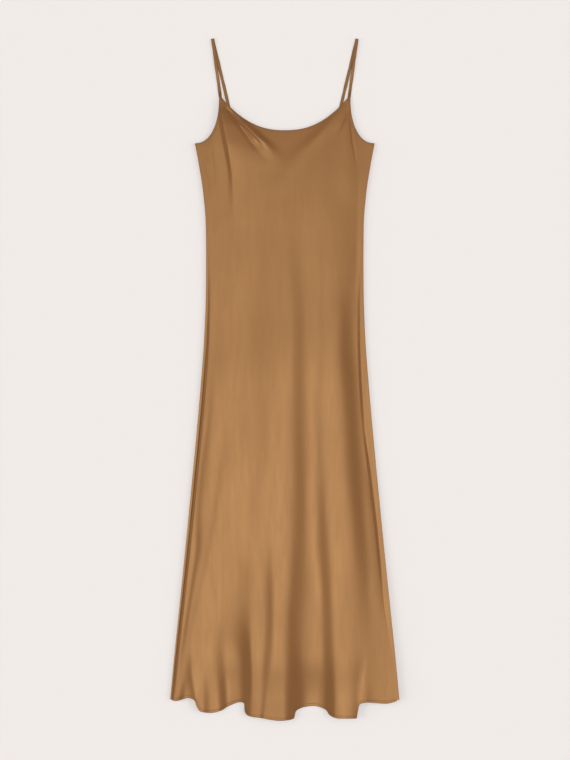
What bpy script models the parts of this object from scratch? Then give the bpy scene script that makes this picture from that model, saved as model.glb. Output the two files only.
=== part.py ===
"""Bias-cut satin slip dress, laid flat on its back: a front panel on a back panel, and two thin straps.

The back panel rolls round both side edges and onto the front by a few millimetres, to the side seams.
The front panel's extra width stands up in soft flutes that end in the lobes of the hem.

Tables are in millimetres, as on a pattern sheet: "across" is measured from the centre line, positive to the
right, and "down" from the top of the straps. The model is in metres, +Z up, with the hem towards -Y.
"""

import math
from collections import namedtuple

import bpy
import numpy as np

MM = 0.001

# ---- driving dimensions, in millimetres ----------------------------------------------------------
LENGTH = 1432.0  # top of the straps to the lowest lobe of the hem
CLOTH = 1.2  # wall that stands for the cloth
ROLL = 2.2  # outer radius of the back panel's roll round its left side edge
SEAM_GAP = 0.4  # between two pieces that are sewn together
UNDERARM = 221.0  # down to the underarm corners
HIGH_SEAT = 130.2  # down to the outer corner of the seat that a front strap is sewn under
NECK_DIP = 194.0  # down to the lowest point of the front neckline
SEAT_INNER, SEAT_OUTER = 131.1, 137.7  # across, the two corners of a front strap seat
NECK_RISE = 66.9  # from the dip up to the seat's inner corner
NECK_POWER = 2.33  # how square the neckline's scoop is
ARMHOLE_POWER = 2.1  # 2 is a true quarter ellipse
BACK_DIP = 241.5  # down to the lowest point of the back neckline
BACK_SEAT_INNER, BACK_SEAT_OUTER = (109.0, 167.6), (115.4, 169.1)  # (across, down)

STRAP_WIDTH = 6.5
STRAP_TOP = 151.9  # across, where both legs of a strap meet at its fold
FRONT_LEG_LEAN, BACK_LEG_LEAN = -0.1345, -0.2385  # across for each millimetre down
FRONT_LEG_END, BACK_LEG_END = 140.5, 167.8  # down, where each leg is sewn
STRAP_BEND = 0.9  # radius of the fold at the strap's top, to the middle of the wall

LEFT_LEVEL = 2 * ROLL  # height of the left side seam; the right one is in the table of stations
AIR = 2.6  # how far the front stands off the level of its seams, under the bust
AIR_START, AIR_REACH = 185.0, 100.0
AIR_LOSS = 0.8  # share of it that is gone from the hips down
HEM_LIFT = 1.8  # how far the flutes stand off the surface just above the hem

# ---- outline: half the dress's width, and how far the back panel shows round each side -----------
Station = namedtuple("Station", "down half_width left_roll right_roll right_level")
STATIONS = [
    Station(219.5, 189.2, 3.6, 3.6, 4.4),
    Station(265, 180.6, 3.6, 5.0, 4.4),
    Station(328, 171.0, 3.6, 6.8, 4.4),
    Station(391, 166.0, 3.6, 7.8, 4.4),
    Station(454, 165.2, 5.2, 8.2, 4.4),
    Station(528, 165.6, 6.4, 8.6, 4.4),
    Station(612, 168.3, 6.5, 12.2, 4.4),
    Station(738, 177.2, 6.5, 16.8, 4.4),
    Station(822, 184.6, 6.5, 18.2, 4.4),
    Station(927, 194.5, 6.5, 14.0, 4.6),
    Station(1053, 206.9, 6.5, 12.0, 5.8),
    Station(1179, 219.7, 6.5, 13.5, 7.2),
    Station(1305, 232.8, 6.2, 11.0, 8.4),
    Station(1390, 240.7, 5.0, 6.0, 9.0),
]

# ---- hems, from the left corner to the right -----------------------------------------------------
HemPoint = namedtuple("HemPoint", "across down")
FRONT_HEM = [
    HemPoint(-240.7, 1389.3),
    HemPoint(-229, 1391.7),
    HemPoint(-202, 1384.8),
    HemPoint(-190, 1389.5),
    HemPoint(-184, 1403.5),
    HemPoint(-177, 1413),
    HemPoint(-156, 1416.3),
    HemPoint(-134, 1411.8),
    HemPoint(-118, 1402.8),
    HemPoint(-92, 1394),
    HemPoint(-85, 1397),
    HemPoint(-84, 1413),
    HemPoint(-77, 1422),
    HemPoint(-50, 1426.5),
    HemPoint(-10, 1432),
    HemPoint(19, 1428),
    HemPoint(23, 1413.5),
    HemPoint(38, 1405.5),
    HemPoint(60, 1402.3),
    HemPoint(86, 1410),
    HemPoint(95, 1421.5),
    HemPoint(114, 1427.3),
    HemPoint(150, 1427.3),
    HemPoint(153, 1412),
    HemPoint(157, 1398),
    HemPoint(172, 1394),
    HemPoint(212, 1396.5),
    HemPoint(240.7, 1389.3),
]
BACK_HEM = [
    HemPoint(-240.7, 1389),
    HemPoint(-225, 1385),
    HemPoint(-200, 1381),
    HemPoint(-90, 1387),
    HemPoint(60, 1393),
    HemPoint(200, 1389),
    HemPoint(240.7, 1389),
]

# ---- flutes: a flank is a slope that runs down the cloth and lifts all that lies to its right ----
# left and right are how far it takes to flatten out on either side
Flank = namedtuple("Flank", "down across slope left right")
FLANKS = {
    "bust": [
        Flank(250, -20, 0, 50, 40),
        Flank(390, -20, 0.008, 50, 40),
        Flank(530, -20, 0.008, 50, 40),
        Flank(680, -20, 0, 50, 40),
    ],
    "below the left armhole": [
        Flank(230, -150, 0, 25, 25),
        Flank(330, -145, -0.035, 28, 28),
        Flank(600, -145, -0.035, 28, 28),
        Flank(760, -150, 0, 25, 25),
    ],
    "left pleat": [
        Flank(640, -155, 0, 4, 6),
        Flank(738, -153, 0.035, 5, 6),
        Flank(800, -158, 0.06, 5, 7),
        Flank(905, -173, 0.085, 4, 11),
        Flank(1010, -182, 0.085, 4, 10),
        Flank(1060, -181, 0.13, 5, 8),
        Flank(1138, -192.5, 0.13, 4, 5),
        Flank(1201, -202, 0.13, 3, 3.5),
        Flank(1264, -211.5, 0.10, 3, 3.5),
        Flank(1330, -221, 0, 4, 4),
    ],
    "left ripple, upper": [
        Flank(400, -136, 0, 10, 10),
        Flank(520, -138, 0.015, 8, 8),
        Flank(643, -142, 0.02, 8, 8),
        Flank(760, -140, 0, 8, 10),
    ],
    "left ripple, lower": [
        Flank(800, -124, 0, 8, 12),
        Flank(905, -134, 0.045, 7, 12),
        Flank(1063, -159, 0.045, 7, 8),
        Flank(1220, -193, 0.05, 6, 6),
        Flank(1300, -212, 0, 6, 6),
    ],
    "second ripple": [
        Flank(350, -88, 0, 20, 20),
        Flank(464, -90, -0.022, 18, 20),
        Flank(590, -100, -0.045, 18, 20),
        Flank(695, -101, -0.045, 20, 20),
        Flank(800, -119, -0.03, 20, 20),
        Flank(905, -132, 0, 20, 20),
    ],
    "third ripple": [
        Flank(350, -50, 0, 14, 18),
        Flank(464, -50, 0.02, 14, 18),
        Flank(640, -55, 0.022, 14, 20),
        Flank(720, -50, 0.03, 16, 22),
        Flank(853, -45, 0.035, 18, 20),
        Flank(958, -62, 0.045, 16, 26),
        Flank(1040, -64, 0.03, 16, 30),
        Flank(1100, -66, 0, 20, 30),
    ],
    "lobe 1, left side": [
        Flank(1285, -200, 0, 10, 10),
        Flank(1325, -199, 0.13, 14, 8),
        Flank(1350, -196, 0.17, 18, 7),
        Flank(1384, -189, 0.12, 10, 7),
        Flank(1433, -181, 0.12, 10, 8),
    ],
    "lobe 1, outer crease": [
        Flank(1345, -209, 0, 5, 5),
        Flank(1384, -216.5, 0.2, 6, 5),
        Flank(1433, -225, 0.2, 6, 5),
    ],
    "lobe 1, crest": [
        Flank(1290, -170, 0, 5, 6),
        Flank(1350, -168, -0.11, 4, 8),
        Flank(1390, -164, -0.12, 7, 9),
        Flank(1433, -163, -0.12, 8, 9),
    ],
    "lobe 1, right side": [
        Flank(1200, -138, 0, 18, 14),
        Flank(1273, -136, -0.10, 18, 12),
        Flank(1325, -134, -0.18, 16, 11),
        Flank(1367, -128.5, -0.37, 12, 12),
        Flank(1433, -119, -0.38, 11, 11),
    ],
    "lobe 2, left side": [
        Flank(1060, -79, 0, 30, 22),
        Flank(1115, -79, 0.065, 28, 22),
        Flank(1168, -84, 0.085, 26, 26),
        Flank(1220, -84, 0.13, 22, 16),
        Flank(1264, -79, 0.23, 22, 7),
        Flank(1306, -76, 0.34, 16, 5),
        Flank(1350, -76, 0.36, 15, 6),
        Flank(1390, -79, 0.30, 12, 8),
        Flank(1433, -83, 0.27, 12, 10),
    ],
    "lobe 2, crest": [
        Flank(1050, -33, 0, 9, 8),
        Flank(1115, -31.5, 0.11, 13, 8),
        Flank(1168, -31, 0.155, 13, 9),
        Flank(1220, -31, 0.165, 12, 9),
        Flank(1273, -33, 0.155, 13, 10),
        Flank(1325, -39, 0.145, 10, 10),
        Flank(1367, -43, 0.10, 9, 10),
        Flank(1433, -48, 0.08, 8, 10),
    ],
    "middle valley, left side": [
        Flank(230, 14, 0, 20, 20),
        Flank(380, 17, -0.03, 20, 20),
        Flank(464, 21, -0.065, 20, 22),
        Flank(548, 27, -0.11, 18, 23),
        Flank(640, 29, -0.14, 18, 22),
        Flank(800, 29, -0.145, 19, 21),
        Flank(905, 32, -0.15, 19, 18),
        Flank(985, 34, -0.158, 24, 15),
        Flank(1063, 29, -0.158, 20, 21),
        Flank(1115, 22, -0.158, 16, 25),
        Flank(1168, 18, -0.155, 17, 28),
        Flank(1220, 13, -0.165, 14, 26),
        Flank(1273, 14, -0.185, 15, 23),
        Flank(1325, 21, -0.26, 16, 17),
        Flank(1367, 22, -0.26, 14, 17),
        Flank(1433, 19, -0.27, 11, 14),
    ],
    "middle valley, right side": [
        Flank(330, 76, 0, 12, 10),
        Flank(464, 76, 0.04, 12, 8),
        Flank(548, 76, 0.045, 9, 8),
        Flank(643, 76, 0.03, 10, 8),
        Flank(748, 67, 0.06, 10, 12),
        Flank(800, 70, 0.08, 11, 11),
        Flank(864, 73, 0.095, 12, 12),
        Flank(905, 74, 0.10, 14, 14),
        Flank(958, 77.5, 0.13, 17, 13),
        Flank(1010, 79, 0.155, 15, 13),
        Flank(1063, 80.5, 0.17, 16, 15),
        Flank(1115, 83, 0.19, 13, 17),
        Flank(1168, 87.5, 0.20, 14, 14),
        Flank(1220, 90, 0.20, 16, 13),
        Flank(1273, 90.5, 0.215, 14, 15),
        Flank(1325, 93, 0.23, 14, 14),
        Flank(1433, 94.5, 0.25, 13, 12),
    ],
    "right valley": [
        Flank(230, 118, 0, 30, 14),
        Flank(340, 126, -0.018, 30, 14),
        Flank(422, 133, -0.042, 30, 14),
        Flank(464, 134, -0.06, 32, 22),
        Flank(506, 131, -0.082, 30, 24),
        Flank(548, 128, -0.118, 24, 25),
        Flank(590, 128, -0.17, 18, 22),
        Flank(643, 128, -0.21, 18, 20),
        Flank(695, 133, -0.22, 20, 19),
        Flank(748, 138, -0.20, 20, 18),
        Flank(853, 144.5, -0.19, 19, 17),
        Flank(958, 151.5, -0.19, 18, 15),
        Flank(1010, 156, -0.18, 18, 14),
        Flank(1063, 160, -0.16, 19, 15),
        Flank(1115, 165, -0.115, 20, 14),
        Flank(1168, 167, -0.075, 22, 13),
        Flank(1220, 171, -0.05, 26, 15),
        Flank(1273, 170, -0.03, 26, 24),
        Flank(1325, 173, -0.04, 14, 24),
        Flank(1433, 176, -0.05, 10, 24),
    ],
    "lobe 3, right side": [
        Flank(1290, 152, 0, 15, 8),
        Flank(1325, 152, -0.085, 15, 7),
        Flank(1367, 148, -0.09, 15, 6),
        Flank(1433, 150, -0.16, 12, 6),
    ],
    "right seam": [
        Flank(880, 172, 0, 8, 4),
        Flank(958, 180, -0.09, 8, 4),
        Flank(1063, 193, -0.09, 10, 4),
        Flank(1168, 202, -0.05, 10, 5),
        Flank(1250, 212, 0, 8, 5),
    ],
}

# ---- gathers: a ridge (rise above 0) or a furrow (below 0), told by its crest --------------------
Fold = namedtuple("Fold", "down across rise left right")
GATHERS = {
    "strap seat, left": [
        Fold(130, -140, 2.2, 30, 30),
        Fold(180, -142, 1.9, 34, 34),
        Fold(250, -140, 0.6, 44, 44),
        Fold(330, -136, 0, 50, 50),
    ],
    "neck ridge, left": [
        Fold(150, -117, 0.4, 10, 8),
        Fold(180, -81, 1.4, 16, 9),
        Fold(206, -59, 2.0, 22, 10),
        Fold(235, -36, 0.9, 24, 14),
        Fold(275, -16, 0, 30, 20),
    ],
    "second ridge, left": [
        Fold(150, -127, 0.5, 8, 8),
        Fold(180, -111, 1.6, 12, 9),
        Fold(206, -96, 1.5, 18, 10),
        Fold(235, -76, 0.8, 26, 12),
        Fold(285, -60, 0, 30, 14),
    ],
    "armhole furrow, left": [
        Fold(160, -137, 0, 7, 7),
        Fold(190, -133, -0.8, 7, 7),
        Fold(235, -125.5, -0.6, 8, 8),
        Fold(300, -114, 0, 8, 8),
    ],
    "neck ridge, right": [
        Fold(140, 124, 0, 14, 14),
        Fold(190, 86, 0.9, 18, 18),
        Fold(240, 40, 0.7, 24, 24),
        Fold(280, 15, 0, 28, 28),
    ],
    "armhole ridge, right": [
        Fold(150, 134, 0, 10, 10),
        Fold(190, 128, 0.7, 14, 14),
        Fold(280, 130, 0.6, 18, 18),
        Fold(350, 136, 0, 18, 18),
    ],
}

Droop = namedtuple("Droop", "across fall")
DROOPS = [  # how far the flutes sink over the last 100 mm to the hem
    Droop(-241, 0),
    Droop(-200, 1.6),
    Droop(-160, 3.4),
    Droop(-125, 0),
    Droop(-100, -0.6),
    Droop(-70, 0.5),
    Droop(-40, 0.3),
    Droop(-5, -0.8),
    Droop(20, 1.2),
    Droop(55, 2.4),
    Droop(85, 1.8),
    Droop(105, 0),
    Droop(241, 0),
]

# ---- how finely each piece is divided ------------------------------------------------------------
FRONT_CELLS = {"neck": 13, "seat": 1, "armhole": 8}  # on each half
BACK_CELLS = {"neck": 6, "seat": 1, "armhole": 4}
ROLL_CELLS, STRIP_CELLS = 6, 2
FRONT_ROWS, BACK_ROWS = 44, 26
END_CROWDING = 0.6  # how much closer the rows are near the neck and the hem than half way down
STRAP_ROWS, BEND_ROWS, STRAP_CELLS = 14, 6, 3

COLOURS = {  # linear RGB of the satin, and of the straps, which are cut from it
    "satin": (0.43, 0.22, 0.09),
    "strap_satin": (0.36, 0.18, 0.075),
}


# ---- small mathematics ---------------------------------------------------------------------------
def smooth_curve(knots, values, at):
    """Values between the knots on a cubic that never overshoots them, and constant beyond both ends."""
    knots, values = np.asarray(knots, float), np.asarray(values, float)
    gaps = np.diff(knots)
    slopes = np.diff(values) / gaps
    tangents = np.concatenate([slopes[:1], np.zeros(len(knots) - 2), slopes[-1:]])
    before, after = slopes[:-1], slopes[1:]
    same_way = before * after > 0
    near, far = 2 * gaps[1:] + gaps[:-1], gaps[1:] + 2 * gaps[:-1]
    tangents[1:-1][same_way] = ((near + far) / (near / np.where(same_way, before, 1)
                                                + far / np.where(same_way, after, 1)))[same_way]
    i = np.clip(np.searchsorted(knots, at) - 1, 0, len(gaps) - 1)
    t = np.clip((at - knots[i]) / gaps[i], 0, 1)
    return (values[i] * (1 + 2 * t) * (1 - t) ** 2
            + tangents[i] * gaps[i] * t * (1 - t) ** 2
            + values[i + 1] * t * t * (3 - 2 * t)
            + tangents[i + 1] * gaps[i] * t * t * (t - 1))


def ease(t):
    """0 before 0, 1 after 1, and a soft S between."""
    t = np.clip(t, 0, 1)
    return t * t * (3 - 2 * t)


def column(table, name, key, at):
    """One named column of a table, read between its rows along the column called key."""
    return smooth_curve([getattr(row, key) for row in table], [getattr(row, name) for row in table], at)


def mix(a, b, share):
    return a + (b - a) * share


# ---- the pattern, in millimetres -----------------------------------------------------------------
def half_width(down):
    return column(STATIONS, "half_width", "down", down)


def left_seam(down):
    """Across, where the front panel meets the roll of the back panel on the left."""
    return -half_width(down) + column(STATIONS, "left_roll", "down", down)


def right_seam(down):
    return half_width(down) - column(STATIONS, "right_roll", "down", down)


def top_edge(cells, seat_inner, seat_outer, dip, power, side_across):
    """(across, down) of half a panel's top edge, from the centre out: neckline, strap seat and armhole."""
    neck = np.arange(cells["neck"]) / cells["neck"]
    turn = np.linspace(0, math.pi / 2, cells["armhole"] + 1)
    across = np.concatenate([
        seat_inner[0] * neck,
        seat_inner[:1],
        seat_outer[0] + (side_across - seat_outer[0]) * (1 - np.cos(turn) ** (2 / ARMHOLE_POWER)),
    ])
    down = np.concatenate([
        dip - (dip - seat_inner[1]) * neck ** power,
        seat_inner[1:],
        seat_outer[1] + (UNDERARM - seat_outer[1]) * np.sin(turn) ** (2 / ARMHOLE_POWER),
    ])
    return across, down


def both_halves(left, right):
    """One row for the whole width, from the left half's and the right half's, which start at the centre."""
    return np.concatenate([left[:0:-1], right])


def along_hem(table, count):
    """(across, down) of evenly spaced points along a hem."""
    across = np.array([point.across for point in table])
    down = np.array([point.down for point in table])
    run = np.concatenate([[0], np.cumsum(np.hypot(np.diff(across), np.diff(down)))])
    at = np.linspace(0, run[-1], count)
    return smooth_curve(run, across, at), smooth_curve(run, down, at)


def row_shares(rows):
    """Shares of the way from the top edge to the hem, closer together at both ends."""
    even = np.linspace(0, 1, rows + 1)
    return even - END_CROWDING * np.sin(2 * math.pi * even) / (2 * math.pi)


def drift(rows, name, down):
    """A column of a fold's table, blurred along the cloth, so that no fold starts or ends with a kink."""
    nearby = [column(rows, name, "down", down + step) for step in (-28, -14, 0, 14, 28)]
    return np.average(nearby, axis=0, weights=(1, 2, 3, 2, 1))


def folds(across, down):
    """Height that the flanks and gathers add, before it is levelled at the side seams."""
    height = np.zeros(np.broadcast(across, down).shape)
    for rows in FLANKS.values():
        centre, slope, left, right = (drift(rows, name, down) for name in Flank._fields[1:])
        beyond = across - centre
        reach = np.where(beyond < 0, left, right)
        height += slope * (left + reach * np.tanh(beyond / reach))
    for rows in GATHERS.values():
        centre, rise, left, right = (column(rows, name, "down", down) for name in Fold._fields[1:])
        beyond = across - centre
        height += rise * np.exp(-((beyond / np.where(beyond < 0, left, right)) ** 2))
    return height


def right_level(down):
    return column(STATIONS, "right_level", "down", down)


def front_height(across, down):
    """The folds, tilted so that they meet both side seams, on the air between the two panels."""
    left, right = left_seam(down), right_seam(down)
    share = (across - left) / (right - left)
    level = mix(folds(left, down) - LEFT_LEVEL, folds(right, down) - right_level(down), share)
    air = AIR * np.tanh((down - AIR_START) / AIR_REACH) * (1 - AIR_LOSS * ease((down - 300) / 300))
    air = air + HEM_LIFT * ease((down - 1000) / 300)
    droop = column(DROOPS, "fall", "across", across) * ease((down - 1290) / 115)
    return folds(across, down) - level + air * (1 - np.abs(2 * share - 1) ** 2.5) - droop


# ---- building ------------------------------------------------------------------------------------
def sheet(name, across, down, lift, offset, material, collection):
    """A panel: a grid of points in millimetres, as three tables of rows by columns, thickened by Solidify."""
    rows, columns = across.shape
    points = np.stack([across, LENGTH / 2 - down, lift], axis=-1).reshape(-1, 3) * MM
    faces = [
        (r * columns + c, (r + 1) * columns + c, (r + 1) * columns + c + 1, r * columns + c + 1)
        for r in range(rows - 1)
        for c in range(columns - 1)
    ]
    mesh = bpy.data.meshes.new(name)
    mesh.from_pydata(points.tolist(), [], faces)
    mesh.shade_smooth()
    mesh.materials.append(material)
    panel = bpy.data.objects.new(name, mesh)
    collection.objects.link(panel)
    wall = panel.modifiers.new("cloth", "SOLIDIFY")
    wall.thickness = CLOTH * MM
    wall.offset = offset
    wall.use_even_offset = True
    return panel


def front_panel(material, collection):
    """The front: its edges are the pattern's, and its flutes and gathers stand up from it."""
    seats = (SEAT_INNER, NECK_DIP - NECK_RISE), (SEAT_OUTER, HIGH_SEAT)
    left = top_edge(FRONT_CELLS, *seats, NECK_DIP, NECK_POWER, -left_seam(UNDERARM))
    right = top_edge(FRONT_CELLS, *seats, NECK_DIP, NECK_POWER, right_seam(UNDERARM))
    top_across, top_down = both_halves(-left[0], right[0]), both_halves(left[1], right[1])
    hem_across, hem_down = along_hem(FRONT_HEM, len(top_across))
    shares = row_shares(FRONT_ROWS)[:, None]
    down = mix(top_down, hem_down, shares)

    def share_of_width(across, at_down):
        return (across - left_seam(at_down)) / (right_seam(at_down) - left_seam(at_down))

    body = np.linspace(0, 1, len(top_across))
    at_top = share_of_width(top_across, top_down)
    at_hem = np.clip(share_of_width(hem_across, hem_down), 0, 1)
    width_share = body + (at_top - body) * ease(1 - shares / 0.22)
    width_share = width_share + (at_hem - body) * ease((shares - 0.86) / 0.14)
    gap = SEAM_GAP / 2
    across = mix(left_seam(down) + gap, right_seam(down) - gap, width_share)
    return sheet("front_panel", across, down, front_height(across, down), -1, material, collection)


def roll(side, down):
    """Outer radius of the roll round one side edge."""
    return np.full_like(down, ROLL) if side < 0 else right_level(down) / 2


def back_panel(material, collection):
    """The back: flat where it rests, rolled round each side edge, and ending at the side seams."""
    half = top_edge(BACK_CELLS, BACK_SEAT_INNER, BACK_SEAT_OUTER, BACK_DIP, 2, half_width(UNDERARM) - ROLL)
    flat_across, flat_down = both_halves(-half[0], half[0]), both_halves(half[1], half[1])
    flat_count = len(flat_across)
    turn = np.linspace(-math.pi / 2, math.pi / 2, ROLL_CELLS + 1)[1:]
    strip = np.linspace(0, 1, STRIP_CELLS + 1)[1:]
    side_count = len(turn) + len(strip)
    top_down = np.concatenate([np.full(side_count, UNDERARM), flat_down, np.full(side_count, UNDERARM)])
    shares = row_shares(BACK_ROWS)[:, None]
    side_hem = column(BACK_HEM, "down", "across", np.array([-LENGTH, LENGTH]))
    hem_across = np.linspace(BACK_HEM[0].across, BACK_HEM[-1].across, flat_count)
    flat_hem = column(BACK_HEM, "down", "across", hem_across)
    hem_down = np.concatenate([np.full(side_count, side_hem[0]), flat_hem, np.full(side_count, side_hem[1])])
    down = mix(top_down, hem_down, shares)
    across, lift = np.zeros_like(down), np.zeros_like(down)

    body = np.linspace(-1, 1, flat_count)
    at_top = flat_across / flat_across[-1]
    spread = body + (at_top - body) * ease(1 - shares / 0.3)
    flat = slice(side_count, side_count + flat_count)
    radius = np.where(spread < 0, ROLL, roll(1, down[:, flat]))
    across[:, flat] = spread * (half_width(down[:, flat]) - radius)

    leftward, rightward = slice(side_count - 1, None, -1), slice(-side_count, None)
    for side, seam, order in ((-1, left_seam, leftward), (1, right_seam, rightward)):
        turn_down, strip_down = np.split(down[:, order], [len(turn)], axis=1)
        radius = roll(side, turn_down)
        around = half_width(turn_down) - radius * (1 - np.cos(turn))
        seam_across = side * seam(strip_down) + SEAM_GAP / 2
        over = mix(half_width(strip_down) - roll(side, strip_down), seam_across, strip)
        across[:, order] = side * np.concatenate([around, over], axis=1)
        lift[:, order] = np.concatenate([radius * (1 + np.sin(turn)), 2 * roll(side, strip_down)], axis=1)
    return sheet("back_panel", across, down, lift, 1, material, collection)


def under_seat(side):
    """Height of the front panel's underside over the end of a front strap, where it is lowest."""
    down = np.linspace(HIGH_SEAT - 4, FRONT_LEG_END, 8)[:, None]
    across = STRAP_TOP + FRONT_LEG_LEAN * down + np.linspace(-0.6, 0.6, 7) * STRAP_WIDTH
    return front_height(side * across, down).min() - CLOTH


def strap(name, side, material, collection):
    """A strap folded over at its top: its front leg lies on the back one and ends under the front's seat."""
    front_down = np.linspace(FRONT_LEG_END, ROLL, STRAP_ROWS)
    back_down = np.linspace(ROLL, BACK_LEG_END, STRAP_ROWS)
    turn = np.linspace(math.pi / 2, -math.pi / 2, BEND_ROWS + 1)[1:-1]
    low = CLOTH / 2
    high = low + 2 * STRAP_BEND
    tucked = under_seat(side) - SEAM_GAP - CLOTH / 2
    lifts = [high, high, low + 0.2, low + 0.2, tucked, tucked]
    front_lift = smooth_curve([0, 60, 95, 112, 127, 140], lifts, front_down)
    down = np.concatenate([front_down, ROLL - STRAP_BEND * np.cos(turn), back_down])
    lift = np.concatenate([front_lift, low + STRAP_BEND * (1 + np.sin(turn)), np.full(STRAP_ROWS, low)])
    lean = np.concatenate([
        np.full(STRAP_ROWS, FRONT_LEG_LEAN),
        np.linspace(FRONT_LEG_LEAN, BACK_LEG_LEAN, len(turn) + 2)[1:-1],
        np.full(STRAP_ROWS, BACK_LEG_LEAN),
    ])
    centre = STRAP_TOP + lean * down
    reach = np.linspace(-0.5, 0.5, STRAP_CELLS + 1) * STRAP_WIDTH
    slant = np.sqrt(1 + lean**2)[:, None]
    across = centre[:, None] + reach / slant
    down = down[:, None] - reach * lean[:, None] / slant
    lift = np.repeat(lift[:, None], len(reach), axis=1)
    if side < 0:
        across, down = across[:, ::-1], down[:, ::-1]
    return sheet(name, side * across, down, lift, 0, material, collection)


def principled(name, colour):
    material = bpy.data.materials.new(name)
    material.use_nodes = True
    shader = material.node_tree.nodes["Principled BSDF"]
    shader.inputs["Base Color"].default_value = (*colour, 1)
    shader.inputs["Roughness"].default_value = 0.42
    shader.inputs["Metallic"].default_value = 0
    return material


def main():
    for obj in list(bpy.data.objects):
        bpy.data.objects.remove(obj)
    dress = bpy.data.collections.new("slip_dress")
    bpy.context.scene.collection.children.link(dress)
    materials = {name: principled(name, colour) for name, colour in COLOURS.items()}
    back_panel(materials["satin"], dress)
    front_panel(materials["satin"], dress)
    strap("strap_left", -1, materials["strap_satin"], dress)
    strap("strap_right", 1, materials["strap_satin"], dress)


main()
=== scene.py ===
# %% [markdown]
# # A satin slip dress, laid flat
#
# The real dress is four pieces of satin: a front and a back cut on the bias, and two thin straps. The packed
# solids come first, as a fixed frame. They already have the real size and the main folds, but they are coarse
# and plain. Each step below puts the finished cloth in the place of one of them.

import math
from collections import namedtuple

import bpy
import numpy as np
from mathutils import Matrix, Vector


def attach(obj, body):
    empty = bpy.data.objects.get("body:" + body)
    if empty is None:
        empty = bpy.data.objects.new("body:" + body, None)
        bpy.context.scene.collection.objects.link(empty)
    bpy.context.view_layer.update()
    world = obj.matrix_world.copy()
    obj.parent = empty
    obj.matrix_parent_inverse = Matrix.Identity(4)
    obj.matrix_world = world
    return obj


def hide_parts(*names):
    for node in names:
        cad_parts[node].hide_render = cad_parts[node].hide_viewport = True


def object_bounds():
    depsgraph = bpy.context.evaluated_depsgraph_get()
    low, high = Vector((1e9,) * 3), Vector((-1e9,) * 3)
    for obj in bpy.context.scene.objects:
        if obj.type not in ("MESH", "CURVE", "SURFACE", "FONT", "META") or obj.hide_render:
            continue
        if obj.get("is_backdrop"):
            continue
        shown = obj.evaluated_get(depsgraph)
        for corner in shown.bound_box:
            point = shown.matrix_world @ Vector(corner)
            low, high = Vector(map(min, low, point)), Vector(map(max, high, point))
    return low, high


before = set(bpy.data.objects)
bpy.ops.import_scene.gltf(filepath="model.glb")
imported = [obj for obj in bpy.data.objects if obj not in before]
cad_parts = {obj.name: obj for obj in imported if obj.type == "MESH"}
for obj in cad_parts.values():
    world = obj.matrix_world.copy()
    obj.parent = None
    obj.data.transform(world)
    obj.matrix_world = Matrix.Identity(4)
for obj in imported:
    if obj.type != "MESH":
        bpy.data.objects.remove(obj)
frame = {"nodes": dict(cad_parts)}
cad_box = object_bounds()
print("solids:", ", ".join(frame["nodes"]))

# %% [markdown]
# ## Units and the pattern
#
# A dressmaker's pattern is measured in millimetres: across from the centre line, and down from the top of the
# straps. The same numbers are used here, and one function turns them into metres in the frame when a mesh is
# built. Blender's own metres would hide every size behind zeros.

# %% The main sizes of the pattern, in millimetres
MM = 0.001
LENGTH = 1432.0  # from the top of the straps to the lowest point of the hem
UNDERARM = 221.0  # from the top of the straps to the top of the side seams
WAIST = 454.0  # from the top of the straps to the narrowest part
ROLL = 2.2  # outer radius of the back panel's roll round its left side edge
SATIN = 0.45  # thickness of the cloth as it is drawn
print(f"the dress is {LENGTH:.0f} mm long, in cloth {SATIN} mm thick")

# %% [markdown]
# ## Smooth lines through a few points
#
# Seams, hems and folds are smooth lines through a few known places. A Bezier curve could draw each one, but
# it needs handles, and it can swing out past its points. The curve below never does: between two rows of a
# table it stays between their values, so the table says exactly how wide or how high the cloth gets.

# %% Reading a table between its rows
def smooth_curve(knots, values, at):
    """Values between the knots, on a cubic that never overshoots them and stays level beyond its ends."""
    knots = np.asarray(knots, float)
    values = np.asarray(values, float)
    gaps = np.diff(knots)
    slopes = np.diff(values) / gaps
    before = slopes[:-1]
    after = slopes[1:]
    same_way = before * after > 0
    near = 2 * gaps[1:] + gaps[:-1]
    far = gaps[1:] + 2 * gaps[:-1]
    through = (near + far) / (near / np.where(same_way, before, 1) + far / np.where(same_way, after, 1))
    tangents = np.concatenate([slopes[:1], np.where(same_way, through, 0), slopes[-1:]])
    i = np.clip(np.searchsorted(knots, at) - 1, 0, len(gaps) - 1)
    t = np.clip((at - knots[i]) / gaps[i], 0, 1)
    return (
        values[i] * (1 + 2 * t) * (1 - t) ** 2
        + tangents[i] * gaps[i] * t * (1 - t) ** 2
        + values[i + 1] * t * t * (3 - 2 * t)
        + tangents[i + 1] * gaps[i] * t * t * (t - 1)
    )


def column(table, name, key, at):
    """One column of a table, read at any place along its key column."""
    return smooth_curve([getattr(row, key) for row in table], [getattr(row, name) for row in table], at)


def ease(t):
    """0 before 0, 1 after 1, and a soft S between."""
    t = np.clip(t, 0, 1)
    return t * t * (3 - 2 * t)


def mix(a, b, share):
    """From a at share 0 to b at share 1."""
    return a + (b - a) * share


print("a soft S at its quarters:", ease(np.array([0, 0.25, 0.5, 0.75, 1])))

# %% [markdown]
# ## The outline
#
# The side seams give the dress its line: in to the waist and out again to the hem. Laid down, a bias-cut
# dress rolls over at its sides, so the back panel shows as a narrow strip and the seams lie on the front.
# The table has a row for each place where the line bends: half the width, how far the strip reaches in on
# each side, how deep the front dips beside each seam, and how high the right seam lies.

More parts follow.
